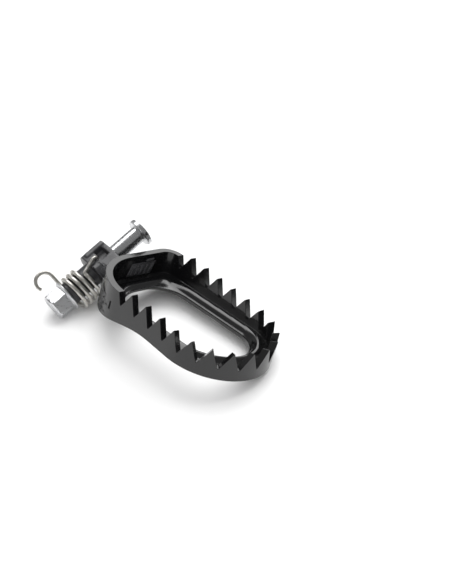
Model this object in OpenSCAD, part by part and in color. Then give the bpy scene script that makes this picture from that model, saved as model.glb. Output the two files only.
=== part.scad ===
// Folding foot peg for an off-road motorcycle.
// A toothed steel tread ring is joined to a hinge lug. The lug turns on a clevis pin that
// a flange bolt closes, and a wire torsion spring swings the peg back down.
// Frame: origin on the pivot axis below the ring's centre line, +X from the hinge to the
// peg's tip, +Y towards the pin's head, +Z square to the tread.

/* [Tread ring] */
// Outside width of the ring
ring_w = 63.4; // [56:0.2:70]
// Distance from the pivot axis to the outer face of the inboard wall
ring_start = 14; // [13:0.5:18]
// Distance from the pivot axis to the tip of the ring
ring_end = 118.4; // [104:0.2:126]
// Thickness of the ring's wall
wall_t = 3.8; // [3:0.1:5]
// Corner radius of the ring on the spring side
spring_corner_r = 30; // [24:0.5:30]
// Corner radius of the ring on the pin head's side
head_corner_r = 10; // [8:0.5:14]
// Height of the tooth tips above the pivot axis
tip_z = 15.2; // [14:0.1:17]
// Height of the smooth inboard wall above the pivot axis
smooth_z = 11.7; // [11:0.1:13]
// Lowest level of the inboard wall, below the pivot axis
skirt_drop = 8.5; // [7:0.1:9]
// Lowest level of the outboard half, below the pivot axis
rim_drop = 0.6; // [0:0.1:2]

/* [Teeth] */
// Distance between tooth tips
tooth_pitch = 11; // [10:0.1:12]
// Depth of the notches between the teeth
tooth_depth = 9.5; // [7:0.1:10]
// Length of each tooth's steep flank, measured along the wall
steep_run = 4.4; // [3:0.1:5]
// Width of each notch's flat root
root_flat = 0.8; // [0.4:0.1:1.2]
// Width of each tooth's blunt tip
tip_flat = 0.4; // [0.2:0.1:0.8]
// First tooth tip on the spring side, from the pivot axis
spring_first_tip = 54.3; // [53:0.1:56]
// First tooth tip on the pin head's side, from the pivot axis
head_first_tip = 33.1; // [32:0.1:34]

/* [Ledge] */
// Distance from the ring's outer face to the ledge's crest
crest_inset = 9; // [8:0.1:9.5]
// Distance from the ring's outer face to the ledge's lip
lip_inset = 12.7; // [12:0.1:14]
// Corner radius of the opening on the pin head's side
opening_corner_r = 14; // [10:0.5:15]
// Rise of the ledge towards the tip, in degrees
ledge_rise = 4.5; // [3:0.1:5]

/* [Hinge] */
// Angle between the pivot pin and the tread, in degrees
hinge_tilt = 39; // [35:0.5:42]
// Diameter of the pivot pin
pin_d = 10; // [9:0.1:10]
// Clearance between the pin and its bore, on the radius
pin_gap = 0.05; // [0.02:0.01:0.1]
// Outside diameter of the lug's barrel
barrel_d = 22; // [20:0.2:22.4]
// Diameter of the spigot inside the spring
spigot_d = 13.4; // [12.6:0.1:13.6]
// Height of the lug's flat top above the pin's axis
deck_h = 9; // [8:0.1:9.5]
// Width of the square spring pocket
pocket_w = 7.2; // [5:0.1:7.5]

/* [Return spring] */
// Diameter of the spring wire
wire_d = 2.2; // [1.8:0.1:2.4]
// Mean diameter of the coil
coil_d = 18.9; // [18.8:0.1:19.6]
// Distance between turns
coil_pitch = 3.25; // [3:0.05:3.4]

/* [Hidden] */
$fn = 96;
eps = 0.01;

half_w = ring_w / 2;
tip_centre = ring_end - half_w;
corner_x = ring_start + spring_corner_r;
corner_y = spring_corner_r - half_w;
notch_h = tip_z - tooth_depth;
gentle_run = tooth_pitch - steep_run - root_flat - tip_flat;
steel_black = [0.07, 0.07, 0.075];
zinc = [0.8, 0.81, 0.82];
spring_grey = [0.55, 0.54, 0.51];

// Places along the pivot axis, from the ring's centre line towards the pin's head. The arms
// that carry the ring end a little short of the barrel's machined face.
lug_head_face = 3.5;
arm_head_face = 2.9;
lug_spring_face = -11.5;
spigot_end = -29.8;
pin_end = -30.1;
pin_shoulder = 22.3;
pin_top = 25.2;

// Runs the children in the hinge's own frame: X outboard, Y along the pin, Z above it.
module in_hinge() {
    rotate([hinge_tilt, 0, 0])
        children();
}

// A cylinder on the pivot axis between two places along it.
module shaft(from, to, r) {
    translate([0, to, 0])
        rotate([90, 0, 0])
            cylinder(r = r, h = to - from);
}

// A block given by its lowest and highest corners.
module block(low, high) {
    translate(low)
        cube(high - low);
}

// The ring's outline in plan, moved inwards by inset, with head_r on the head side's corner.
module outline(inset, head_r) {
    w = half_w - inset;
    start = ring_start + inset;
    translate([tip_centre, 0])
        circle(r = w);
    translate([corner_x, -w])
        square([tip_centre - corner_x, 2 * w]);
    translate([corner_x, corner_y])
        circle(r = spring_corner_r - inset);
    translate([start, corner_y])
        square([corner_x - start, w - head_r - corner_y]);
    translate([start + head_r, w - head_r - eps])
        square([corner_x - start - head_r, head_r + eps]);
    translate([start + head_r, w - head_r])
        circle(r = head_r);
}

// Level of the ring's lower edge at a distance x from the pivot axis.
skirt_from = 26;
skirt_to = 72;
function skirt_z(x) =
    let (t = min(1, max(0, (x - skirt_from) / (skirt_to - skirt_from))))
    -rim_drop - (skirt_drop - rim_drop) * (1 + cos(180 * t)) / 2;

// Everything below the ring's lower edge.
module below_skirt() {
    step = 4;
    xs = [for (x = [skirt_from : step : skirt_to + step]) x];
    depth = skirt_drop + 10;
    edge = [for (x = xs) [x, skirt_z(x)]];
    start = [[ring_start - 5, -depth], [ring_start - 5, -skirt_drop]];
    finish = [[ring_end + 5, -rim_drop], [ring_end + 5, -depth]];
    translate([0, half_w + 1, 0])
        rotate([90, 0, 0])
            linear_extrude(ring_w + 2)
                polygon(concat(start, edge, finish));
}

// One notch, cut square through the wall, with its root in the middle.
module notch(before, after) {
    top = tip_z + 1;
    over_before = before * (tooth_depth + 1) / tooth_depth;
    over_after = after * (tooth_depth + 1) / tooth_depth;
    r = root_flat / 2;
    translate([0, wall_t / 2 + 1, 0])
        rotate([90, 0, 0])
            linear_extrude(wall_t + 2)
                polygon([[-r, notch_h], [r, notch_h], [r + over_after, top], [-r - over_before, top]]);
}

// Puts the children on the wall at a place along it, on the side given by 1 or -1.
// The place is counted along the outer face from the pivot axis, and goes round the tip.
module on_wall(place, side) {
    past = place - tip_centre;
    turn = max(0, past) / half_w * 180 / PI;
    translate([tip_centre, 0, 0])
        rotate([0, 0, -side * turn])
            translate([min(0, past), side * (half_w - wall_t / 2), 0])
                children();
}

// The teeth point outboard on both sides, so each notch starts with a steep flank.
spring_teeth = 10;
head_teeth = 8;
module notches() {
    back = tip_flat / 2 + gentle_run + root_flat / 2;
    for (i = [0 : spring_teeth - 1])
        on_wall(spring_first_tip + i * tooth_pitch - back, -1)
            notch(steep_run, gentle_run);
    for (i = [0 : head_teeth - 1])
        on_wall(head_first_tip + i * tooth_pitch - back, 1)
            notch(steep_run, gentle_run);
    last_spring = spring_first_tip + (spring_teeth - 1) * tooth_pitch;
    last_head = head_first_tip + (head_teeth - 1) * tooth_pitch;
    half_way = (PI * half_w + 2 * tip_centre - last_spring - last_head) / 2;
    on_wall(last_spring + half_way, -1)
        notch(steep_run, steep_run);
}

// The part of the wall that stands lower than the teeth and has none.
module above_smooth_wall() {
    rise = tip_z - smooth_z + 1;
    spring_limit = spring_first_tip - gentle_run - root_flat;
    head_limit = head_first_tip - gentle_run - root_flat;
    translate([0, 0, smooth_z])
        linear_extrude(rise)
            polygon([[0, -half_w - 1], [spring_limit, -half_w - 1], [spring_limit, 0],
                     [head_limit, half_w - head_corner_r], [head_limit, half_w + 1], [0, half_w + 1]]);
}

// Section of the ledge: X is the distance in from the ring's outer face.
ledge_top = 2.2;
crest_h = 4;
lip_h = 0.2;
lip_t = 1.2;
ledge_root = -2.4;
ledge_section = [
    [wall_t - 1, ledge_root],
    [crest_inset, ledge_root + 0.4],
    [lip_inset, lip_h - lip_t],
    [lip_inset, lip_h],
    [lip_inset - 0.4, lip_h + 0.5],
    [crest_inset + 1.2, crest_h - 0.8],
    [crest_inset + 0.5, crest_h - 0.1],
    [crest_inset, crest_h],
    [crest_inset - 1.2, crest_h - 0.3],
    [wall_t + 1.6, ledge_top],
    [wall_t - 1, ledge_top]
];

// A straight run of the ledge along +X, with the ring's outer face at Y = 0.
module ledge_run(length) {
    rotate([90, 0, 90])
        linear_extrude(length)
            polygon([for (p = ledge_section) [-p[0], p[1]]]);
}

// A curved run of the ledge, for an outer face of radius r.
module ledge_bend(r, angle) {
    rotate_extrude(angle = angle)
        polygon([for (p = ledge_section) [r - p[0], p[1]]]);
}

// Keeps what lies on one side of the diagonal of the head side's inboard corner.
module mitred(far_end) {
    reach = ring_end + ring_w;
    intersection() {
        children();
        translate([ring_start, half_w, -tip_z])
            linear_extrude(2 * tip_z)
                polygon([[0, 0], far_end * reach, [reach, -reach]]);
    }
}

// The ledge all round the opening, level.
module level_ledge() {
    translate([tip_centre, 0, 0])
        rotate([0, 0, -90])
            ledge_bend(half_w, 180);
    mitred([1, 0])
        translate([ring_start, half_w, 0])
            ledge_run(tip_centre - ring_start);
    translate([tip_centre, -half_w, 0])
        rotate([0, 0, 180])
            ledge_run(tip_centre - corner_x);
    translate([corner_x, corner_y, 0])
        rotate([0, 0, 180])
            ledge_bend(spring_corner_r, 90);
    mitred([0, -1])
        translate([ring_start, corner_y, 0])
            rotate([0, 0, 90])
                ledge_run(half_w - corner_y);
    translate([0, 0, ledge_root + 1])
        linear_extrude(lip_h - ledge_root - 1)
            difference() {
                intersection() {
                    outline(crest_inset, 1);
                    translate([ring_start, 0])
                        square([head_corner_r + opening_corner_r, half_w]);
                }
                outline(lip_inset, opening_corner_r);
            }
}

// The ledge rises towards the tip.
ledge_pivot_x = 62;
module ledge() {
    intersection() {
        translate([ledge_pivot_x, 0, 0])
            rotate([0, -ledge_rise, 0])
                translate([-ledge_pivot_x, 0, 0])
                    level_ledge();
        translate([0, 0, -skirt_drop])
            linear_extrude(tip_z + skirt_drop)
                outline(wall_t - 1, head_corner_r - wall_t + 1);
    }
}

// The narrow slot in the outer face of the spring side's corner.
slot_x = 40.5;
slot_w = 1.2;
slot_low = -1.1;
slot_high = 3.5;
slot_depth = 0.8;
module corner_slot() {
    away = slot_x - corner_x;
    face_y = corner_y - sqrt(spring_corner_r * spring_corner_r - away * away);
    low = [slot_x - slot_w / 2, face_y - 1, slot_low];
    high = [slot_x + slot_w / 2, face_y + slot_depth, slot_high];
    block(low, high);
}

module tread_ring() {
    color(steel_black)
        difference() {
            union() {
                difference() {
                    translate([0, 0, -skirt_drop])
                        linear_extrude(tip_z + skirt_drop)
                            difference() {
                                outline(0, head_corner_r);
                                outline(wall_t, head_corner_r - wall_t);
                            }
                    above_smooth_wall();
                    notches();
                }
                ledge();
            }
            below_skirt();
            corner_slot();
        }
}

// The space that the ring takes up, with all that is inside its outline.
module ring_space() {
    height = 100;
    translate([0, 0, -height / 2])
        linear_extrude(height)
            outline(0, head_corner_r);
}

// The lug: a barrel and its spigot on the pivot axis, a flat deck that runs out to the
// ring's wall, a web below the deck, a pocket and rim for the spring, and the stop toe.
deck_t = 4.2;
bevel_w = 3.5;
bevel_drop = 1.8;
rim_t = 3;
rim_rise = 0.7;
rim_x = -6.4;
web_face = -4;
web_depth = 7.6;
bore_r = pin_d / 2 + pin_gap;
module lug_deck() {
    edge = lug_spring_face + 2;
    rotate([90, 0, 90])
        linear_extrude(corner_x)
            polygon([[arm_head_face, deck_h - deck_t], [arm_head_face, deck_h], [edge + bevel_w, deck_h],
                     [edge, deck_h - bevel_drop], [edge, deck_h - deck_t]]);
    block([0, web_face, -web_depth], [corner_x, arm_head_face, deck_h]);
}

module stop_toe() {
    block([-17, -4, -18.6], [-2, 8, -13.2]);
    block([-8, -6, -16], [5, arm_head_face, -6]);
}

// The pocket, and the groove that the spring's leg lies in on its way there.
pocket_l = 5.4;
pocket_end = 0.6;
pocket_depth = 3.4;
leg_x = 0.7;
groove_w = wire_d + 0.8;
groove_depth = 1;
leg_turn = 14;
module spring_pocket() {
    from = pocket_end - pocket_l;
    dive = from - wire_d - 0.2;
    top = barrel_d;
    block([rim_x + rim_t, from, deck_h - pocket_depth], [rim_x + rim_t + pocket_w, pocket_end, top]);
    block([leg_x - groove_w / 2, dive, deck_h - pocket_depth], [leg_x + groove_w / 2, from + eps, top]);
    translate([leg_x, dive + eps, deck_h - groove_depth])
        rotate([0, 0, leg_turn])
            translate([-groove_w / 2, -barrel_d, 0])
                cube([groove_w, barrel_d, top]);
}

module hinge_lug() {
    color(steel_black)
        difference() {
            union() {
                in_hinge() {
                    difference() {
                        shaft(lug_spring_face, lug_head_face, barrel_d / 2);
                        block([-barrel_d, -barrel_d, deck_h], [barrel_d, barrel_d, barrel_d]);
                    }
                    shaft(spigot_end, lug_spring_face + 1, spigot_d / 2);
                    block([rim_x, lug_spring_face + 2, 0], [rim_x + rim_t, arm_head_face, deck_h + rim_rise]);
                    stop_toe();
                }
                difference() {
                    in_hinge()
                        lug_deck();
                    ring_space();
                }
            }
            in_hinge() {
                shaft(spigot_end - 1, lug_head_face + 1, bore_r);
                spring_pocket();
            }
        }
}

// The fillet welds in the corners between the lug's web and the ring's inboard wall.
weld_leg = 2.6;
module weld_bead(y, direction, low, high) {
    color(steel_black)
        difference() {
            in_hinge()
                translate([0, 0, low])
                    linear_extrude(high - low)
                        polygon([[ring_start - weld_leg, y], [ring_start + weld_leg, y],
                                 [ring_start, y + direction * weld_leg]]);
            ring_space();
        }
}

module head_side_weld() {
    weld_bead(arm_head_face, 1, -web_depth, deck_h - 2);
}

module spring_side_weld() {
    weld_bead(web_face, -1, -web_depth, deck_h - deck_t);
}

// The clevis pin: a hollow shank, a flanged head with a deep countersink, and a screwed bore.
module pivot_pin() {
    head_r = 8.2;
    cone_depth = 4;
    hole_r = 2.3;
    screw_r = 3.05;
    screw_depth = 16;
    color(zinc)
        in_hinge()
            difference() {
                union() {
                    shaft(pin_end, pin_shoulder + eps, pin_d / 2);
                    shaft(pin_shoulder, pin_top, head_r);
                }
                shaft(pin_end - 1, pin_end + screw_depth, screw_r);
                shaft(pin_end, pin_top + 1, hole_r);
                translate([0, pin_top + eps, 0])
                    rotate([90, 0, 0])
                        cylinder(r1 = head_r - 1, r2 = hole_r, h = cone_depth);
            }
}

// The flange bolt: hexagon head, flange and threaded shank.
bolt_head_end = -41.4;
module flange_bolt() {
    flat_to_flat = 14;
    flange_r = 9.1;
    flange_t = 1.7;
    shank_r = 3;
    shank_l = 12;
    color(zinc)
        in_hinge() {
            shaft(pin_end - flange_t, pin_end, flange_r);
            translate([0, pin_end - flange_t + eps, 0])
                rotate([90, 0, 0])
                    cylinder(d = flat_to_flat / cos(30), h = pin_end - flange_t - bolt_head_end, $fn = 6);
            shaft(pin_end - eps, pin_end + shank_l, shank_r);
        }
}

// The torsion spring: a hook and its straight leg, the coil, and a leg that turns along the
// pin and ends in the lug's pocket. Its route is in the hinge's frame. The loose coil hangs
// a little off the spigot and leans.
coil_r = coil_d / 2;
coil_x = 1.2;
coil_z = -0.8;
coil_from = pin_end + wire_d / 2 + 0.9;
coil_start = -124.5;
coil_turns = 3.541;
coil_lean = 0.85;
steps_per_turn = 20;
function on_coil(turn) =
    let (angle = coil_start + 360 * turn)
    [coil_x + coil_r * cos(angle),
     coil_from + coil_pitch * turn + coil_lean * sin(angle - coil_start),
     coil_z + coil_r * sin(angle)];
coil_route = [for (i = [0 : coil_turns * steps_per_turn]) on_coil(i / steps_per_turn)];

along_pin = [0, 1, 0];
hook_leg_l = 16.4;
hook_r = 5.1;
hook_turn = 205;
hook_steps = 12;
leg_way = [sin(coil_start), 0, -cos(coil_start)];
hook_root = on_coil(0) + hook_leg_l * leg_way;
function on_hook(turn) = hook_root + hook_r * ((cos(turn) - 1) * along_pin + sin(turn) * leg_way);
hook_route = [for (i = [hook_steps : -1 : 0]) on_hook(hook_turn * i / hook_steps)];

bend_r = 1.8;
bend_steps = 4;
coil_end_angle = coil_start + 360 * coil_turns;
last_way = [-sin(coil_end_angle), 0, cos(coil_end_angle)];
function on_bend(turn) = on_coil(coil_turns) + bend_r * (sin(turn) * last_way + (1 - cos(turn)) * along_pin);
bend_route = [for (i = [1 : bend_steps]) on_bend(80 * i / bend_steps)];
pocket_route = [[1.2, -9, 10.1], [leg_x + 0.2, -7.8, 10.2], [leg_x, -6.7, 9.8], [leg_x, -6.1, 9],
                [leg_x, -5.9, 7.6]];
spring_route = concat(hook_route, coil_route, bend_route, pocket_route);

function unit(v) = v / norm(v);
function tangents(p) = [for (i = [0 : len(p) - 1]) unit(p[min(i + 1, len(p) - 1)] - p[max(i - 1, 0)])];
function square_to(v, t) = unit(v - t * (v * t));
module swept_wire(p, d, sides) {
    t = tangents(p);
    n = len(p);
    side_vectors = [for (i = 0, e = square_to([0, 1, 0.2], t[0]);
                         i < n;
                         i = i + 1, e = square_to(e, t[min(i, n - 1)])) e];
    rings = [for (i = [0 : n - 1]) for (k = [0 : sides - 1])
        let (a = 360 * k / sides, e = side_vectors[i], f = cross(t[i], e))
        p[i] + d / 2 * (cos(a) * e + sin(a) * f)];
    walls = [for (i = [0 : n - 2]) for (k = [0 : sides - 1])
        let (a = i * sides + k, b = i * sides + (k + 1) % sides)
        [a, a + sides, b + sides, b]];
    caps = [[for (k = [0 : sides - 1]) k], [for (k = [sides - 1 : -1 : 0]) (n - 1) * sides + k]];
    polyhedron(points = rings, faces = concat(walls, caps), convexity = 10);
}

module return_spring() {
    color(spring_grey)
        in_hinge()
            swept_wire(spring_route, wire_d, 8);
}

tread_ring();
hinge_lug();
head_side_weld();
spring_side_weld();
pivot_pin();
flange_bolt();
return_spring();
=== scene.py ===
"""Looks of the folding foot peg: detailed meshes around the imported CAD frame."""

import math

import bmesh
import bpy
from mathutils import Matrix, Vector, noise


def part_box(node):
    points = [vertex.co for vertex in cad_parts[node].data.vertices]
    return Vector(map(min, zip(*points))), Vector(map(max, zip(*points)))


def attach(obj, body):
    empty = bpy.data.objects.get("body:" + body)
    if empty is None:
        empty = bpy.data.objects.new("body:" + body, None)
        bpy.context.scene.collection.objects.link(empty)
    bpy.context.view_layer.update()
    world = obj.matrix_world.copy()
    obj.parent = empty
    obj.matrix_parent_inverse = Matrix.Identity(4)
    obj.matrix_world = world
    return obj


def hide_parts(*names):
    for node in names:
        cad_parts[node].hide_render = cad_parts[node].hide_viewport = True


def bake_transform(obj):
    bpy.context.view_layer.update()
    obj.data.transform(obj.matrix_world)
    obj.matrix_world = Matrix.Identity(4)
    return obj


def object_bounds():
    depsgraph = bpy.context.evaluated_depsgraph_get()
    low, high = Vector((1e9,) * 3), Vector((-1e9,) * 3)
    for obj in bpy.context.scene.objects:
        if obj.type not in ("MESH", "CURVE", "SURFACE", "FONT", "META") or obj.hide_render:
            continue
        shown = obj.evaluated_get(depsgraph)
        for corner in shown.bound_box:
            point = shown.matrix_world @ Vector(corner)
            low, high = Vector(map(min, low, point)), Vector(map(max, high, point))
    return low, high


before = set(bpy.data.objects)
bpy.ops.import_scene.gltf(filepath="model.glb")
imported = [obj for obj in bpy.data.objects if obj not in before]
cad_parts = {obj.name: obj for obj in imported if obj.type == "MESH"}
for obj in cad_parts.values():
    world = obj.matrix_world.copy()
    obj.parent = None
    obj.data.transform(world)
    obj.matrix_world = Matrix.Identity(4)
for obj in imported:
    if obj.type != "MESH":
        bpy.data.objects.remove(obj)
cad_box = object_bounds()
MM = 0.001

# Tread ring, in millimetres, in the row's frame. The pack's box gives its main sizes.
RING_BOX = [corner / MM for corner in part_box("tread_ring")]
RING_START = RING_BOX[0].x
RING_END = RING_BOX[1].x
HALF_W = RING_BOX[1].y
TIP_Z = RING_BOX[1].z
SMOOTH_DROP = 3.5
SMOOTH_Z = TIP_Z - SMOOTH_DROP
WALL_T = 3.8
SPRING_CORNER_R = 30
HEAD_CORNER_R = 10
TIP_CENTRE = RING_END - HALF_W
CORNER_X = RING_START + SPRING_CORNER_R
CORNER_Y = SPRING_CORNER_R - HALF_W
HEAD_X = RING_START + HEAD_CORNER_R
HEAD_Y = HALF_W - HEAD_CORNER_R

# Lower edge: deep up to SKIRT_FROM, then it rises over SKIRT_RUN towards the tip.
SKIRT_DROP = -RING_BOX[0].z
RIM_DROP = 0.6
SKIRT_FROM = 26
SKIRT_RUN = 46

# Teeth: each has a steep flank on its outboard side and a gentle one on the other.
PITCH = 11
DEPTH = 9.5
STEEP_RUN = 4.4
ROOT_FLAT = 0.8
TIP_FLAT = 0.4
GENTLE_RUN = PITCH - STEEP_RUN - ROOT_FLAT - TIP_FLAT
SPRING_FIRST_TIP = 54.3
SPRING_TEETH = 10
HEAD_FIRST_TIP = 33.1
HEAD_TEETH = 8

# Hinge: X outboard, Y along the pin, Z above it.
HINGE_TILT = math.radians(39)
HINGE = Matrix.Rotation(HINGE_TILT, 4, "X")
PIN_R = 5
PIN_END = -30.1
BOLT_END = -41.4
ROUND_STEPS = 96


def principled(name, **inputs):
    """A new material and its Principled shader, with the inputs given set."""
    material = bpy.data.materials.new(name)
    material.use_nodes = True
    shader = material.node_tree.nodes["Principled BSDF"]
    for key, value in inputs.items():
        shader.inputs[key.replace("_", " ")].default_value = value
    return material, shader


def node(material, kind, **values):
    """A new shader node; values go to its inputs by name, or to its own settings."""
    made = material.node_tree.nodes.new(kind)
    for key, value in values.items():
        if key in made.inputs:
            made.inputs[key].default_value = value
        else:
            setattr(made, key, value)
    return made


def link(material, source, target):
    """Joins an output socket to an input socket."""
    material.node_tree.links.new(source, target)


def ramp(material, source, low, high, dark, light):
    """Maps a grey signal between low and high to a range of values."""
    mapped = node(material, "ShaderNodeMapRange", **{"From Min": low, "From Max": high,
                                                     "To Min": dark, "To Max": light})
    link(material, source, mapped.inputs["Value"])
    return mapped.outputs["Result"]


def noise_texture(material, scale, detail=3, stretch=(1, 1, 1)):
    """Noise in the object's own coordinates, with scale counted per metre."""
    place = node(material, "ShaderNodeTexCoord")
    mapping = node(material, "ShaderNodeMapping", Scale=stretch)
    link(material, place.outputs["Object"], mapping.inputs["Vector"])
    texture = node(material, "ShaderNodeTexNoise", Scale=scale, Detail=detail)
    link(material, mapping.outputs["Vector"], texture.inputs["Vector"])
    return texture.outputs["Fac"]


def bump(material, shader, height, strength, distance):
    """Gives the shader a fine relief from a grey signal, with its depth in metres."""
    made = node(material, "ShaderNodeBump", Strength=strength, Distance=distance)
    link(material, height, made.inputs["Height"])
    link(material, made.outputs["Normal"], shader.inputs["Normal"])


def black_coat(name, shade=0.0045, gloss=(0.1, 0.19), grain=0.3):
    """Glossy black coat over cast steel: an orange peel and slightly uneven gloss."""
    material, shader = principled(name, Base_Color=(shade, shade, shade * 1.08, 1), IOR=1.55)
    patches = noise_texture(material, 260)
    link(material, ramp(material, patches, 0.3, 0.7, *gloss), shader.inputs["Roughness"])
    peel = noise_texture(material, 1500, detail=2)
    bump(material, shader, peel, grain, 0.00004)
    return material


def bright_zinc(name):
    """Bright zinc plating over a turned surface, with faint rings round the pin."""
    material, shader = principled(name, Base_Color=(0.6, 0.605, 0.615, 1), Metallic=1)
    rings = noise_texture(material, 900, detail=2, stretch=(0.03, 1, 1))
    link(material, ramp(material, rings, 0.3, 0.7, 0.22, 0.34), shader.inputs["Roughness"])
    bump(material, shader, rings, 0.1, 0.00001)
    return material


def satin_zinc(name):
    """Satin zinc plating with fine drawn streaks."""
    material, shader = principled(name, Base_Color=(0.58, 0.585, 0.595, 1), Metallic=1)
    streaks = noise_texture(material, 700, detail=4, stretch=(1, 0.15, 1))
    link(material, ramp(material, streaks, 0.3, 0.7, 0.24, 0.42), shader.inputs["Roughness"])
    bump(material, shader, streaks, 0.15, 0.00004)
    return material


def spring_wire(name):
    """Drawn spring wire: a warm grey with darker streaks along it."""
    material, shader = principled(name, Metallic=1)
    streaks = noise_texture(material, 500, detail=4)
    colour = node(material, "ShaderNodeValToRGB")
    colour.color_ramp.elements[0].position = 0.35
    colour.color_ramp.elements[0].color = (0.5, 0.485, 0.45, 1)
    colour.color_ramp.elements[1].position = 0.65
    colour.color_ramp.elements[1].color = (0.74, 0.725, 0.69, 1)
    link(material, streaks, colour.inputs["Fac"])
    link(material, colour.outputs["Color"], shader.inputs["Base Color"])
    link(material, ramp(material, streaks, 0.3, 0.7, 0.34, 0.48), shader.inputs["Roughness"])
    bump(material, shader, streaks, 0.12, 0.00004)
    return material


MATERIALS = {
    "black_ring": black_coat("ring black coat"),
    "black_lug": black_coat("lug black coat", shade=0.03, gloss=(0.3, 0.45), grain=0.9),
    "black_weld": black_coat("weld black coat", shade=0.008, gloss=(0.2, 0.32), grain=0.6),
    "bright_pin": bright_zinc("bright zinc"),
    "plated_bolt": satin_zinc("satin zinc"),
    "spring_wire": spring_wire("drawn wire"),
}


def make_piece(name, vertices, faces, slot, matrix=Matrix.Identity(4)):
    """A piece from millimetre vertices, with its material, in the record's slot."""
    mesh = bpy.data.meshes.new(name)
    mesh.from_pydata([matrix @ (Vector(v) * MM) for v in vertices], [], faces)
    return finish_piece(name, mesh, slot)


def finish_piece(name, mesh, slot):
    """Cleans a mesh and makes it a smooth shaded piece in the record's slot."""
    work = bmesh.new()
    work.from_mesh(mesh)
    bmesh.ops.remove_doubles(work, verts=work.verts, dist=0.01 * MM)
    bmesh.ops.dissolve_degenerate(work, edges=work.edges, dist=0.005 * MM)
    bmesh.ops.recalc_face_normals(work, faces=work.faces)
    work.to_mesh(mesh)
    work.free()
    mesh.materials.clear()
    mesh.materials.append(MATERIALS[slot])
    mesh.shade_smooth()
    piece = bpy.data.objects.new(name, mesh)
    bpy.context.scene.collection.objects.link(piece)
    return piece


def round_edges(piece, width, segments=2, angle=32):
    """Rounds the sharp edges by a width in millimetres, and keeps the flats flat."""
    modifier = piece.modifiers.new("rounded edges", "BEVEL")
    modifier.width = width * MM
    modifier.segments = segments
    modifier.limit_method = "ANGLE"
    modifier.angle_limit = math.radians(angle)
    modifier.harden_normals = True
    modifier.use_clamp_overlap = False


# --- Tread ring -------------------------------------------------------------------------
# The ring is a grid: stations along its outline, and a closed section at each of them.
# Distances along the outline start at the spring side's corner and go round by the tip.
SPRING_SIDE = TIP_CENTRE - CORNER_X
TIP_ARC = math.pi * HALF_W
HEAD_SIDE = TIP_CENTRE - HEAD_X
HEAD_CORNER = math.pi / 2 * HEAD_CORNER_R
INBOARD_SIDE = HEAD_Y - CORNER_Y
SPRING_CORNER = math.pi / 2 * SPRING_CORNER_R
AT_TIP = SPRING_SIDE
AT_HEAD_SIDE = AT_TIP + TIP_ARC
AT_HEAD_CORNER = AT_HEAD_SIDE + HEAD_SIDE
AT_INBOARD = AT_HEAD_CORNER + HEAD_CORNER
AT_SPRING_CORNER = AT_INBOARD + INBOARD_SIDE
OUTLINE = AT_SPRING_CORNER + SPRING_CORNER


def on_arc(x, y, r, start, turn):
    """Point on an arc about x, y: start is in degrees, and turn from there in radians."""
    angle = math.radians(start) + turn
    return x + r * math.cos(angle), y + r * math.sin(angle)


def outline_at(distance, inset):
    """Point in plan at a distance along the outline, moved square inwards."""
    if distance <= AT_TIP:
        return CORNER_X + distance, inset - HALF_W
    if distance <= AT_HEAD_SIDE:
        return on_arc(TIP_CENTRE, 0, HALF_W - inset, -90, (distance - AT_TIP) / HALF_W)
    if distance <= AT_HEAD_CORNER:
        return TIP_CENTRE - (distance - AT_HEAD_SIDE), HALF_W - inset
    if distance <= AT_INBOARD:
        turn = (distance - AT_HEAD_CORNER) / HEAD_CORNER_R
        return on_arc(HEAD_X, HEAD_Y, HEAD_CORNER_R - inset, 90, turn)
    if distance <= AT_SPRING_CORNER:
        return RING_START + inset, HEAD_Y - (distance - AT_INBOARD)
    turn = (distance - AT_SPRING_CORNER) / SPRING_CORNER_R
    return on_arc(CORNER_X, CORNER_Y, SPRING_CORNER_R - inset, 180, turn)


# Round the head side's corner the ledge has corner radii of its own.
LEDGE_BEND_X = 46
LEDGE_BEND_Y = 0
BEND_FROM = AT_HEAD_SIDE + TIP_CENTRE - LEDGE_BEND_X
BEND_TO = AT_INBOARD + HEAD_Y - LEDGE_BEND_Y


def ledge_at(distance, inset, corner_r):
    """As outline_at, but with its own radius in the head side's corner."""
    if not BEND_FROM < distance < BEND_TO:
        return outline_at(distance, inset)
    x, y = RING_START + inset, HALF_W - inset
    before = LEDGE_BEND_X - x - corner_r
    arc = math.pi / 2 * corner_r
    after = y - corner_r - LEDGE_BEND_Y
    along = (distance - BEND_FROM) / (BEND_TO - BEND_FROM) * (before + arc + after)
    if along <= before:
        return LEDGE_BEND_X - along, y
    if along <= before + arc:
        return on_arc(x + corner_r, y - corner_r, corner_r, 90, (along - before) / corner_r)
    return x, y - corner_r - (along - before - arc)


def find_notches():
    """Each notch's middle along the outline, and the runs of its flanks before and after it."""
    back = TIP_FLAT / 2 + GENTLE_RUN + ROOT_FLAT / 2
    found = []
    for i in range(SPRING_TEETH):
        place = SPRING_FIRST_TIP + i * PITCH - back
        found.append((place - CORNER_X, STEEP_RUN, GENTLE_RUN))
    for i in range(HEAD_TEETH):
        place = HEAD_FIRST_TIP + i * PITCH - back
        found.append((AT_HEAD_SIDE + TIP_CENTRE - place, GENTLE_RUN, STEEP_RUN))
    last_spring = SPRING_FIRST_TIP + (SPRING_TEETH - 1) * PITCH - CORNER_X
    last_head = AT_HEAD_SIDE + TIP_CENTRE - HEAD_FIRST_TIP - (HEAD_TEETH - 1) * PITCH
    found.append(((last_spring + last_head) / 2, STEEP_RUN, STEEP_RUN))
    return found


NOTCHES = find_notches()
SMOOTH_FROM = AT_HEAD_SIDE + TIP_CENTRE - HEAD_FIRST_TIP + GENTLE_RUN + ROOT_FLAT
SMOOTH_TO = OUTLINE + SPRING_FIRST_TIP - CORNER_X - GENTLE_RUN - ROOT_FLAT


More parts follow.
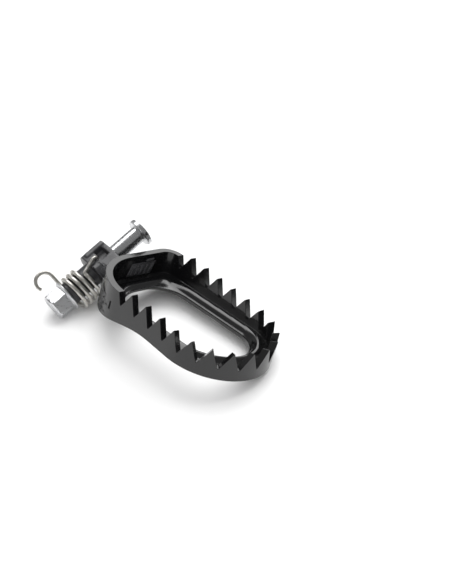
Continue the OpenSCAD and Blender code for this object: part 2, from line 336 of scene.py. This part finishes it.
def wall_top(distance, inset):
    """Level of the wall's top, with the teeth."""
    smooth = SMOOTH_FROM < distance < SMOOTH_TO or distance < SMOOTH_TO - OUTLINE
    level = SMOOTH_Z if smooth else TIP_Z
    for middle, before, after in NOTCHES:
        away = (distance - middle + OUTLINE / 2) % OUTLINE - OUTLINE / 2
        if AT_TIP < middle < AT_HEAD_SIDE:
            away *= (HALF_W - inset) / HALF_W
        run = after if away > 0 else before
        rise = max(0, abs(away) - ROOT_FLAT / 2) * DEPTH / run
        level = min(level, TIP_Z - DEPTH + rise)
    return level


def skirt_z(x):
    """Level of the ring's lower edge."""
    t = min(1, max(0, (x - SKIRT_FROM) / SKIRT_RUN))
    return -RIM_DROP - (SKIRT_DROP - RIM_DROP) * (1 + math.cos(math.pi * t)) / 2


STATION_GAP = 1.8


def find_stations():
    """Distances along the outline at which the ring has a section."""
    marks = []
    reach = (SMOOTH_Z - TIP_Z + DEPTH) / DEPTH * STEEP_RUN
    for middle, before, after in NOTCHES:
        root = ROOT_FLAT / 2
        marks += [middle - root - before, middle - root, middle + root, middle + root + after]
    marks.append(NOTCHES[SPRING_TEETH][0] + ROOT_FLAT / 2 + reach)
    marks.append(NOTCHES[0][0] - ROOT_FLAT / 2 - reach)
    marks = sorted(m % OUTLINE for m in marks)
    stations = []
    for here, after in zip(marks, marks[1:] + [marks[0] + OUTLINE]):
        steps = max(1, math.ceil((after - here) / STATION_GAP))
        stations += [(here + (after - here) * i / steps) % OUTLINE for i in range(steps)]
    return sorted(stations)


# Ledge inside the wall: it slopes up to a round crest, and down to a thin lip round the
# opening. A row is the inset from the outer wall, the radius in the head side's corner, and
# the level. The whole ledge rises towards the tip, and is wider and lower on the inboard side.
LEDGE_RISE = math.tan(math.radians(4.5))
LEDGE_PIVOT_X = 62
LEDGE_ROWS = [
    (5.0, 5.0, 2.1), (6.2, 4.0, 2.6), (7.0, 3.4, 3.15), (7.6, 3.2, 3.55), (8.2, 3.0, 3.83),
    (8.8, 3.0, 3.97), (9.3, 3.0, 3.97), (9.8, 3.0, 3.8), (10.25, 3.2, 3.42), (10.7, 3.6, 2.9),
    (11.15, 4.6, 2.3), (11.6, 7.5, 1.6), (12.05, 10.5, 1.1), (12.45, 12.3, 0.72),
    (12.65, 13.0, 0.5), (12.7, 13.0, 0.25), (12.7, 13.0, -1.5), (9.0, 4.0, -2.2),
]
INBOARD_SHIFT = 1.2
INBOARD_DROP = 0.5
LEDGE_TOP = 2.0
LEDGE_ROOT = -2.4


def ledge_level(x, z):
    """Level z of the ledge's section, raised for its place, and never below the wall's foot."""
    return max(z + (x - LEDGE_PIVOT_X) * LEDGE_RISE, skirt_z(x))


def ring_section(distance):
    """The ring's closed section at a station, from the outer wall's foot up and round."""
    outer = outline_at(distance, 0)
    inner = outline_at(distance, WALL_T)
    turn_in = min(1, max(0, (LEDGE_BEND_X - outer[0]) / (LEDGE_BEND_X - RING_START)))
    inboard = turn_in * turn_in * (3 - 2 * turn_in)
    points = [(*outer, skirt_z(outer[0])), (*outer, wall_top(distance, 0)),
              (*inner, wall_top(distance, WALL_T)), (*inner, ledge_level(inner[0], LEDGE_TOP))]
    for inset, corner_r, z in LEDGE_ROWS:
        x, y = ledge_at(distance, inset + INBOARD_SHIFT * inboard, corner_r)
        z -= max(0, z) * INBOARD_DROP * inboard
        points.append((x, y, ledge_level(x, z)))
    points.append((*inner, ledge_level(inner[0], LEDGE_ROOT)))
    points.append((*inner, skirt_z(inner[0])))
    return points


def grid_faces(rows, columns, closed_rows=True):
    """Quads of a grid whose columns close on themselves, and whose rows may."""
    faces = []
    for i in range(rows if closed_rows else rows - 1):
        for j in range(columns):
            a, b = i * columns, (i + 1) % rows * columns
            k = (j + 1) % columns
            faces.append((a + j, a + k, b + k, b + j))
    return faces


def cut(piece, low, high, slot):
    """Cuts a block, given by its corners in millimetres, out of a piece of one slot."""
    work = bmesh.new()
    bmesh.ops.create_cube(work, size=MM)
    bmesh.ops.scale(work, vec=[b - a for a, b in zip(low, high)], verts=work.verts)
    bmesh.ops.translate(work, vec=[(a + b) / 2 * MM for a, b in zip(low, high)], verts=work.verts)
    tool_mesh = bpy.data.meshes.new("cutter")
    work.to_mesh(tool_mesh)
    work.free()
    tool = bpy.data.objects.new("cutter", tool_mesh)
    bpy.context.scene.collection.objects.link(tool)
    modifier = piece.modifiers.new("cut", "BOOLEAN")
    modifier.object = tool
    modifier.solver = "EXACT"
    evaluated = piece.evaluated_get(bpy.context.evaluated_depsgraph_get())
    mesh = bpy.data.meshes.new_from_object(evaluated)
    piece.modifiers.clear()
    piece.data = mesh
    bpy.data.objects.remove(tool)
    mesh.materials.clear()
    mesh.materials.append(MATERIALS[slot])


# Narrow slot in the outer wall's spring side corner.
SLOT_X = 40.5
SLOT_W = 1.2
SLOT_DEPTH = 0.8
SLOT_FOOT = -1.1
SLOT_TOP = 3.5


def make_ring():
    sections = [ring_section(s) for s in find_stations()]
    vertices = [p for section in sections for p in section]
    faces = grid_faces(len(sections), len(sections[0]))
    ring = make_piece("ring", vertices, faces, "black_ring")
    wall_y = CORNER_Y - math.sqrt(SPRING_CORNER_R ** 2 - (SLOT_X - CORNER_X) ** 2)
    cut(ring, (SLOT_X - SLOT_W / 2, wall_y - 1, SLOT_FOOT),
        (SLOT_X + SLOT_W / 2, wall_y + SLOT_DEPTH, SLOT_TOP), "black_ring")
    round_edges(ring, 0.19)
    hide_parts("tread_ring")
    return ring


PATCH_STEP = 0.32
PATCH_GRAIN = 1.15
PATCH_SUNK = -0.15
PATCH_LEAST = 0.05


def rough_patch(origin, along, up, length, height, proud, rough, lean=0.0):
    """A raised patch with a rough skin, as vertices and faces. Its border lies in the surface."""
    out = along.cross(up)
    columns = max(4, round(length / PATCH_STEP))
    rows = max(4, round(height / PATCH_STEP))
    vertices, faces = [], []
    for i in range(columns + 1):
        for j in range(rows + 1):
            u, v = length * i / columns, height * j / rows
            place = origin + along * (u + lean * v) + up * v
            border = i in (0, columns) or j in (0, rows)
            grain = noise.noise(place * PATCH_GRAIN) * rough
            rise = PATCH_SUNK if border else max(PATCH_LEAST, proud + grain)
            vertices.append(place + out * rise)
    for i in range(columns):
        for j in range(rows):
            a = i * (rows + 1) + j
            faces.append((a, a + rows + 1, a + rows + 2, a + 1))
    last = columns * (rows + 1)
    rim = [i * (rows + 1) for i in range(columns + 1)]
    rim += [last + j for j in range(1, rows + 1)]
    rim += [last + rows - i * (rows + 1) for i in range(1, columns + 1)]
    rim += [rows - j for j in range(1, rows)]
    faces.append(tuple(reversed(rim)))
    return vertices, faces


def make_patches(name, patches, slot, matrix=Matrix.Identity(4)):
    """One piece from several patches."""
    vertices, faces = [], []
    for more, patch_faces in patches:
        faces += [tuple(len(vertices) + k for k in face) for face in patch_faces]
        vertices += more
    return make_piece(name, vertices, faces, slot, matrix)


def make_relief():
    """A plain raised panel on the inboard wall's inner face, with five slanting ribs."""
    face = RING_START + WALL_T
    along, up = Vector((0, 1, 0)), Vector((0, 0, 1))
    first_rib, rib_pitch, lean = -0.8, 3.3, 0.3
    patches = [rough_patch(Vector((face, -2.0, -1.0)), along, up,
                           length=17.5, height=8.2, proud=0.3, rough=0.12, lean=lean)]
    for i in range(5):
        place = Vector((face, first_rib + rib_pitch * i, 0))
        patches.append(rough_patch(place, along, up,
                                   length=2.2, height=6.2, proud=0.9, rough=0.5, lean=lean))
    patches.append(rough_patch(Vector((face, 9.5, 7.6)), along, up,
                               length=5.2, height=1.5, proud=0.8, rough=0.3, lean=0.9))
    # The panel wears the lug's lighter coat, not the ring's black: a painted highlight that greys
    # the ribs like the glints they catch.
    return make_patches("relief", patches, "black_lug")


def make_deck_pad():
    """A plain rough pad on the bevel of the lug's deck, where the real one has a cast mark."""
    along = Vector((1, 0, 0))
    bevel_w, bevel_drop = 3.5, 1.8
    up = Vector((0, bevel_w, bevel_drop)).normalized()
    patch = rough_patch(Vector((1.4, -9.1, 7.41)), along, up,
                        length=11.0, height=3.3, proud=0.5, rough=0.8)
    return make_patches("deck_pad", [patch], "black_lug", HINGE)


def make_cast_band():
    """Rough cast skin on the spring side's corner, a shell that stands a little proud of it."""
    columns, rows = 60, 70
    high, above_skirt = 8.0, 0.3
    narrow_from, wave = 0.55, 2.5
    thickness, sunk_edge, edge_cells = 0.8, 0.06, 9
    from_angle = math.radians(-133)
    outer, inner = [], []
    for j in range(rows + 1):
        upper = max(0, (j / rows - narrow_from) / (1 - narrow_from))
        to_angle = math.radians(-102 - 21 * upper ** 1.5 + wave * math.sin(j * 0.27))
        for i in range(columns + 1):
            angle = from_angle + (to_angle - from_angle) * i / columns
            x, y = on_arc(CORNER_X, CORNER_Y, SPRING_CORNER_R, 0, angle)
            low = skirt_z(x) + above_skirt
            z = low + (high - low) * j / rows
            edge = min(i, columns - i, j, rows - j) / edge_cells
            ridges = abs(noise.noise(Vector((angle * 22, z * 0.4, 3)))) * 1.7
            pits = abs(noise.noise(Vector((angle * 44, z * 1.3, 9)))) * 0.8
            proud = (0.1 + ridges + pits) * 0.42 * min(1, edge) - sunk_edge
            x, y = on_arc(CORNER_X, CORNER_Y, SPRING_CORNER_R + proud, 0, angle)
            outer.append((x, y, z))
            if i in (0, columns):
                inside = on_arc(CORNER_X, CORNER_Y, SPRING_CORNER_R - thickness, 0, angle)
                inner.append((*inside, z))
    faces = []
    for j in range(rows):
        for i in range(columns):
            a = j * (columns + 1) + i
            faces.append((a, a + 1, a + columns + 2, a + columns + 1))
    first = len(outer)
    for j in range(rows):
        a, b = first + 2 * j, first + 2 * j + 2
        left, right = j * (columns + 1), j * (columns + 1) + columns
        faces.append((a, b, b + 1, a + 1))
        faces.append((left, left + columns + 1, b, a))
        faces.append((right, a + 1, b + 1, right + columns + 1))
    faces.append(tuple(range(columns + 1)) + (first + 1, first))
    top = rows * (columns + 1)
    end = first + 2 * rows
    faces.append(tuple(reversed(range(top, top + columns + 1))) + (end, end + 1))
    return make_piece("cast_band", outer + inner, faces, "black_ring")


# --- Hinge lug --------------------------------------------------------------------------
def piece_from_node(name, cad_node, slot):
    """A piece of its own with a CAD node's shape, its flat faces made whole."""
    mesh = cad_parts[cad_node].data.copy()
    work = bmesh.new()
    work.from_mesh(mesh)
    bmesh.ops.remove_doubles(work, verts=work.verts, dist=0.002 * MM)
    bmesh.ops.dissolve_limit(work, angle_limit=math.radians(0.6), verts=work.verts,
                             edges=work.edges)
    work.to_mesh(mesh)
    work.free()
    if "custom_normal" in mesh.attributes:
        mesh.attributes.remove(mesh.attributes["custom_normal"])
    piece = finish_piece(name, mesh, slot)
    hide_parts(cad_node)
    return piece


def soften(piece, voxel, rounds):
    """Gives a piece the soft edges of a casting: an even fine mesh, then smoothed."""
    remesh = piece.modifiers.new("even mesh", "REMESH")
    remesh.mode = "VOXEL"
    remesh.voxel_size = voxel * MM
    remesh.use_smooth_shade = True
    smooth = piece.modifiers.new("soft edges", "SMOOTH")
    smooth.factor = 0.5
    smooth.iterations = rounds


def make_lug():
    """The lug keeps the CAD shape, with a casting's soft edges."""
    lug = piece_from_node("lug", "hinge_lug", "black_lug")
    soften(lug, voxel=0.42, rounds=5)
    return lug


def make_welds():
    """The two weld beads between the lug's web and the ring."""
    welds = []
    for cad_node in ("head_side_weld", "spring_side_weld"):
        weld = piece_from_node(cad_node.replace("_weld", "_bead"), cad_node, "black_weld")
        soften(weld, voxel=0.3, rounds=3)
        welds.append(weld)
    return welds


# --- Pivot pin and flange bolt ----------------------------------------------------------
def lathe(name, profile, slot):
    """A turned piece on the pivot axis, from (place along the pin, radius) pairs."""
    vertices = []
    for i in range(ROUND_STEPS):
        angle = 2 * math.pi * i / ROUND_STEPS
        vertices += [(r * math.cos(angle), a, r * math.sin(angle)) for a, r in profile]
    return make_piece(name, vertices, grid_faces(ROUND_STEPS, len(profile)), slot, HINGE)


def make_pin():
    """The hollow pin, with a deep countersink in its head."""
    head_from, head_to, head_r, hole_r = 22.3, 25.2, 8.2, 2.3
    chamfer, sink_rim, sink_depth = 0.4, 1.1, 4
    profile = [(PIN_END, hole_r), (PIN_END, PIN_R), (head_from - 0.5, PIN_R),
               (head_from, PIN_R + chamfer), (head_from, head_r - chamfer),
               (head_from + chamfer, head_r), (head_to - chamfer, head_r),
               (head_to, head_r - 0.5), (head_to, head_r - sink_rim),
               (head_to - sink_depth, hole_r)]
    pin = lathe("pin", profile, "bright_pin")
    round_edges(pin, 0.15, angle=20)
    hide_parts("pivot_pin")
    return pin


def make_bolt():
    """The bolt's flange is turned, and its hexagon has the usual chamfer at its corners."""
    flange_r, flange_t, across_flats = 9.1, 1.7, 14
    corner_r = across_flats / math.sqrt(3)
    base = PIN_END - flange_t
    # Places along the hexagon, each with the radius that it is turned down to.
    end = BOLT_END
    levels = [(base - 0.1, corner_r), (end + 1.6, corner_r), (end + 0.8, 7.6), (end + 0.25, 6.8),
              (end, 6.4), (end, 5.0), (end + 0.5, 4.6), (end + 0.5, 0.02)]
    vertices = []
    for i in range(ROUND_STEPS):
        angle = 2 * math.pi * i / ROUND_STEPS
        hexagon = across_flats / 2 / math.cos((angle % (math.pi / 3)) - math.pi / 6)
        radii = [(PIN_END, 3.2), (PIN_END, flange_r - 0.5), (PIN_END - 0.35, flange_r),
                 (PIN_END - 0.9, flange_r), (base, flange_r - 1.1)]
        radii += [(a, min(hexagon, limit)) for a, limit in levels]
        radii.append((PIN_END, 0.02))
        vertices += [(r * math.cos(angle), a, r * math.sin(angle)) for a, r in radii]
    faces = grid_faces(ROUND_STEPS, len(radii))
    bolt = make_piece("bolt", vertices, faces, "plated_bolt", HINGE)
    round_edges(bolt, 0.15, angle=25)
    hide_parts("flange_bolt")
    return bolt


# --- Return spring ----------------------------------------------------------------------
# In the hinge's own frame, in millimetres. The coil leans a little to the pin.
WIRE_D = 2.2
COIL_R = 18.9 / 2
COIL_X = 1.2
COIL_Z = -0.8
COIL_FROM = PIN_END + WIRE_D / 2 + 0.9
COIL_START = math.radians(-124.5)
COIL_TURNS = 3.541
COIL_PITCH = 3.25
COIL_LEAN = 0.85
HOOK_LEG = 16.4
HOOK_R = 5.1
HOOK_TURN = math.radians(205)
BEND_R = 1.8
BEND_TURN = math.radians(80)
HOOK_STEPS = 24
COIL_STEPS = 200
BEND_STEPS = 8
ALONG_PIN = Vector((0, 1, 0))
POCKET_LEG = [(1.2, -9.0, 10.1), (0.9, -7.8, 10.2), (0.7, -6.7, 9.8), (0.7, -6.1, 9.0),
              (0.7, -5.9, 7.6)]


def on_coil(turn):
    """Point on the coil's helix after a number of turns."""
    swept = 2 * math.pi * turn
    angle = COIL_START + swept
    along = COIL_FROM + COIL_PITCH * turn + COIL_LEAN * math.sin(swept)
    return Vector((COIL_X + COIL_R * math.cos(angle), along, COIL_Z + COIL_R * math.sin(angle)))


def tangent_at(turn):
    """Way of the wire in the coil, square to the pin."""
    angle = COIL_START + 2 * math.pi * turn
    return Vector((-math.sin(angle), 0, math.cos(angle)))


def spring_route():
    """Points along the wire's middle, from the hook's free end to the leg in the lug's pocket."""
    leg_way = -tangent_at(0)
    root = on_coil(0) + HOOK_LEG * leg_way
    route = []
    for i in range(HOOK_STEPS, -1, -1):
        turn = HOOK_TURN * i / HOOK_STEPS
        route.append(root + HOOK_R * ((math.cos(turn) - 1) * ALONG_PIN + math.sin(turn) * leg_way))
    route += [on_coil(COIL_TURNS * i / COIL_STEPS) for i in range(COIL_STEPS + 1)]
    last_way = tangent_at(COIL_TURNS)
    for i in range(1, BEND_STEPS + 1):
        turn = BEND_TURN * i / BEND_STEPS
        bend = math.sin(turn) * last_way + (1 - math.cos(turn)) * ALONG_PIN
        route.append(on_coil(COIL_TURNS) + BEND_R * bend)
    leg = [route[-1]] + [Vector(p) for p in POCKET_LEG]
    for _ in range(3):
        cuts = [a.lerp(b, t) for a, b in zip(leg, leg[1:]) for t in (0.25, 0.75)]
        leg = [leg[0]] + cuts[1:-1] + [leg[-1]]
    return route + leg[1:]


def sweep(name, route, radius, slot, sides=20):
    """A round wire along a route, with slightly rounded ends."""
    end_length, end_taper = 0.2, 0.3
    way = [(route[min(i + 1, len(route) - 1)] - route[max(i - 1, 0)]).normalized()
           for i in range(len(route))]
    side = way[0].orthogonal().normalized()
    rings = []
    for point, forward in zip(route, way):
        side = (side - forward * side.dot(forward)).normalized()
        rings.append((point, side.copy(), forward.cross(side), radius))
    first, last = rings[0], rings[-1]
    rings.insert(0, (first[0] - way[0] * end_length, first[1], first[2], radius - end_taper))
    rings.append((last[0] + way[-1] * end_length, last[1], last[2], radius - end_taper))
    vertices = []
    for point, u, v, r in rings:
        for k in range(sides):
            angle = 2 * math.pi * k / sides
            vertices.append(point + r * (math.cos(angle) * u + math.sin(angle) * v))
    faces = grid_faces(len(rings), sides, closed_rows=False)
    faces.append(tuple(range(sides)))
    faces.append(tuple((len(rings) - 1) * sides + k for k in range(sides)))
    return make_piece(name, vertices, faces, slot, HINGE)


def make_spring():
    spring = sweep("spring", spring_route(), WIRE_D / 2, "spring_wire")
    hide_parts("return_spring")
    return spring


# --- Stage, light and camera ------------------------------------------------------------
# The peg lies loose in the photograph, so the floor under it is at a slant to the tread.
FLOOR_NORMAL = Vector((-0.118, -0.303, 0.946)).normalized()
FLOOR_HALF = 3
FLOOR_GAP = 0.0001


def rectangle(name, half_w, half_h):
    """A flat mesh in its own XY plane."""
    mesh = bpy.data.meshes.new(name)
    mesh.from_pydata([(-half_w, -half_h, 0), (half_w, -half_h, 0), (half_w, half_h, 0),
                      (-half_w, half_h, 0)], [], [(0, 1, 2, 3)])
    return mesh


def face_middle(thing, way, distance):
    """Puts a lamp or a card at a distance from the peg's middle, facing it."""
    middle = (Vector(cad_box[0]) + Vector(cad_box[1])) / 2
    way = Vector(way).normalized()
    thing.location = middle + way * distance
    thing.rotation_mode = "QUATERNION"
    thing.rotation_quaternion = way.to_track_quat("Z", "Y")
    bpy.context.scene.collection.objects.link(thing)


def make_floor():
    """A pale floor under the points that the peg rests on. It can't be seen from below."""
    level = min(FLOOR_NORMAL.dot(v.co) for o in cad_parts.values() for v in o.data.vertices)
    mesh = rectangle("floor", FLOOR_HALF, FLOOR_HALF)
    floor = bpy.data.objects.new("floor", mesh)
    floor.rotation_mode = "QUATERNION"
    floor.rotation_quaternion = FLOOR_NORMAL.to_track_quat("Z", "Y")
    floor.location = FLOOR_NORMAL * (level - FLOOR_GAP)
    material, shader = principled("pale floor", Base_Color=(0.87, 0.87, 0.87, 1), Roughness=0.9)
    facing = node(material, "ShaderNodeNewGeometry")
    clear = node(material, "ShaderNodeBsdfTransparent")
    mix = node(material, "ShaderNodeMixShader")
    output = material.node_tree.nodes["Material Output"]
    link(material, facing.outputs["Backfacing"], mix.inputs[0])
    link(material, shader.outputs[0], mix.inputs[1])
    link(material, clear.outputs[0], mix.inputs[2])
    link(material, mix.outputs[0], output.inputs["Surface"])
    mesh.materials.append(material)
    bpy.context.scene.collection.objects.link(floor)


def soft_box(name, way, distance, size, power):
    """A square area light that faces the peg's middle from a direction, unseen in the gloss."""
    light = bpy.data.lights.new(name, "AREA")
    light.size = size
    light.energy = power
    lamp = bpy.data.objects.new(name, light)
    lamp.visible_glossy = False
    face_middle(lamp, way, distance)


def reflector(name, way, distance, width, height, brightness):
    """A card that only reflections see. It darkens or lights the gloss from one direction."""
    mesh = rectangle(name, width / 2, height / 2)
    material, shader = principled(name, Base_Color=(0, 0, 0, 1), Roughness=1)
    shader.inputs["Specular IOR Level"].default_value = 0
    shader.inputs["Emission Color"].default_value = (1, 1, 1, 1)
    shader.inputs["Emission Strength"].default_value = brightness
    mesh.materials.append(material)
    card = bpy.data.objects.new(name, mesh)
    face_middle(card, way, distance)
    card.visible_camera = False
    card.visible_diffuse = False
    card.visible_shadow = False
    card.visible_transmission = False


def light_scene():
    """Plain studio light: two soft boxes, and cards for what the black coat mirrors."""
    world = bpy.data.worlds.new("studio")
    world.use_nodes = True
    background = world.node_tree.nodes["Background"]
    background.inputs["Color"].default_value = (1, 1, 1, 1)
    background.inputs["Strength"].default_value = 0.28
    bpy.context.scene.world = world
    soft_box("overhead box", (-0.25, 0.1, 0.95), distance=1.5, size=1.8, power=30)
    soft_box("front fill", (0.45, -0.75, 0.6), distance=1.5, size=1.8, power=18)
    reflector("ceiling card", (-0.62, 0.02, 0.80), distance=0.7, width=0.8, height=0.32,
              brightness=4.5)
    reflector("back card", (-0.53, 0.72, 0.45), distance=0.9, width=0.6, height=0.36,
              brightness=2.1)
    reflector("dark card", (0.72, 0.66, 0.22), distance=0.12, width=0.3, height=0.14,
              brightness=0)
    bpy.context.scene.view_settings.view_transform = "Standard"


def add_camera():
    """The camera stands outboard of the spring side, and is rolled a little to the tread."""
    azimuth, elevation, roll = (math.radians(a) for a in (38.11, 27.31, 17.83))
    place = Vector((377.08, -371.94, 274.34)) * MM
    camera = bpy.data.cameras.new("camera")
    camera.sensor_fit = "HORIZONTAL"
    camera.sensor_width = 36
    camera.lens = 85.34
    camera.clip_start = 0.01
    camera.clip_end = 20
    eye = bpy.data.objects.new("camera", camera)
    turn = Matrix.Rotation(azimuth, 4, "Z") @ Matrix.Rotation(math.pi / 2 - elevation, 4, "X")
    eye.matrix_world = Matrix.Translation(place) @ turn @ Matrix.Rotation(roll, 4, "Z")
    bpy.context.scene.collection.objects.link(eye)
    bpy.context.scene.camera = eye


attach(make_ring(), "peg")
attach(make_relief(), "peg")
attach(make_cast_band(), "peg")
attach(make_deck_pad(), "peg")
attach(make_lug(), "peg")
for bead in make_welds():
    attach(bead, "peg")
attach(make_pin(), "pin")
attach(make_bolt(), "pin")
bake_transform(make_spring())
make_floor()
light_scene()
add_camera()
